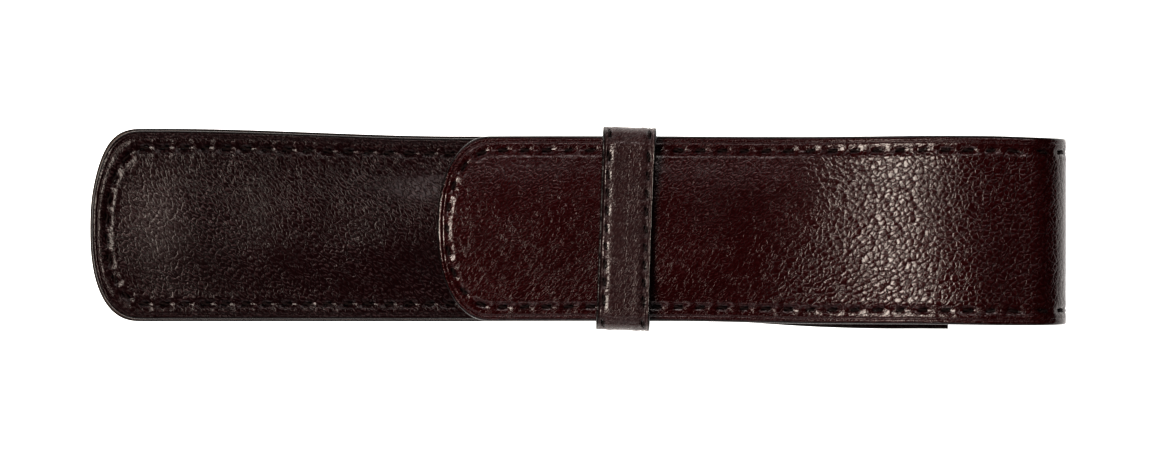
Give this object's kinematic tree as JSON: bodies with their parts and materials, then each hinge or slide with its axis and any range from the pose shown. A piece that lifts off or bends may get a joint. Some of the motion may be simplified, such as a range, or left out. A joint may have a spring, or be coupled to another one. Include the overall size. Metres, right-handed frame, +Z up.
{
  "type": "pen case",
  "caption": "Slim stitched leather sleeve for one fountain pen, with a rounded flap that folds over the pocket and tucks under a sliding keeper loop.",
  "frame": {"origin": "middle of the footprint, on the flat surface that the sleeve lies on", "axes": "+X along the sleeve from the closed end to the fold, +Y across it, +Z up out of the flap's face"},
  "size_m": [0.165, 0.0344, 0.0146],
  "materials": {
    "flap_leather": "dark oxblood pebbled leather with a soft polish and dark painted edges",
    "pocket_leather": "near-black brown pebbled leather with a soft polish and dark painted edges",
    "keeper_leather": "dark brown pebbled leather, thinner than the rest",
    "lining": "thin smooth dark brown lining leather, matt",
    "thread": "waxed twisted thread, dark brown",
    "keeper_thread": "waxed twisted thread, dark brown"
  },
  "bodies": {
    "pocket": {"back_panel": "flap_leather", "back_lining": "lining", "front_panel": "pocket_leather", "front_lining": "lining", "pocket_seam_thread": "thread", "throat_seam_thread": "thread", "mouth_hem_thread": "thread"},
    "fold_1": {"fold_leather_1": "flap_leather", "fold_lining_1": "lining", "fold_thread_1": "thread"},
    "fold_2": {"fold_leather_2": "flap_leather", "fold_lining_2": "lining", "fold_thread_2": "thread"},
    "fold_3": {"fold_leather_3": "flap_leather", "fold_lining_3": "lining", "fold_thread_3": "thread"},
    "fold_4": {"fold_leather_4": "flap_leather", "fold_lining_4": "lining", "fold_thread_4": "thread"},
    "fold_5": {"fold_leather_5": "flap_leather", "fold_lining_5": "lining", "fold_thread_5": "thread"},
    "flap": {"flap_leather": "flap_leather", "flap_lining": "lining", "flap_thread": "thread", "tongue_leather": "flap_leather", "tongue_lining": "lining", "tongue_thread": "thread"},
    "keeper": {"keeper_band": "keeper_leather", "keeper_lining": "lining", "keeper_seam_left": "keeper_thread", "keeper_seam_right": "keeper_thread", "keeper_join_thread": "keeper_thread"}
  },
  "joints": [
    {"name": "flap_open", "type": "hinge", "parent": "pocket", "child": "fold_1", "pos_m": [0.0759, 0, 0.0013], "axis": [0, 1, 0], "range_deg": [0, 18], "deforming": ["tongue_leather", "tongue_lining", "tongue_thread"]},
    {"name": "fold_bend_1", "type": "hinge", "parent": "fold_1", "child": "fold_2", "pos_m": [0.07978, 0, 0.00256], "axis": [0, 1, 0], "range_deg": [0, 36]},
    {"name": "fold_bend_2", "type": "hinge", "parent": "fold_2", "child": "fold_3", "pos_m": [0.08218, 0, 0.00586], "axis": [0, 1, 0], "range_deg": [0, 36]},
    {"name": "fold_bend_3", "type": "hinge", "parent": "fold_3", "child": "fold_4", "pos_m": [0.08218, 0, 0.00994], "axis": [0, 1, 0], "range_deg": [0, 36]},
    {"name": "fold_bend_4", "type": "hinge", "parent": "fold_4", "child": "fold_5", "pos_m": [0.07978, 0, 0.01324], "axis": [0, 1, 0], "range_deg": [0, 36]},
    {"name": "fold_bend_5", "type": "hinge", "parent": "fold_5", "child": "flap", "pos_m": [0.0759, 0, 0.0145], "axis": [0, 1, 0], "range_deg": [0, 18]},
    {"name": "keeper_slide", "type": "slide", "parent": "pocket", "child": "keeper", "axis": [1, 0, 0], "range_m": [-0.038, 0.015]}
  ],
  "couplings": [
    {"joint": "fold_bend_1", "follows": "flap_open", "ratio": 2},
    {"joint": "fold_bend_2", "follows": "flap_open", "ratio": 2},
    {"joint": "fold_bend_3", "follows": "flap_open", "ratio": 2},
    {"joint": "fold_bend_4", "follows": "flap_open", "ratio": 2},
    {"joint": "fold_bend_5", "follows": "flap_open", "ratio": 1}
  ]
}
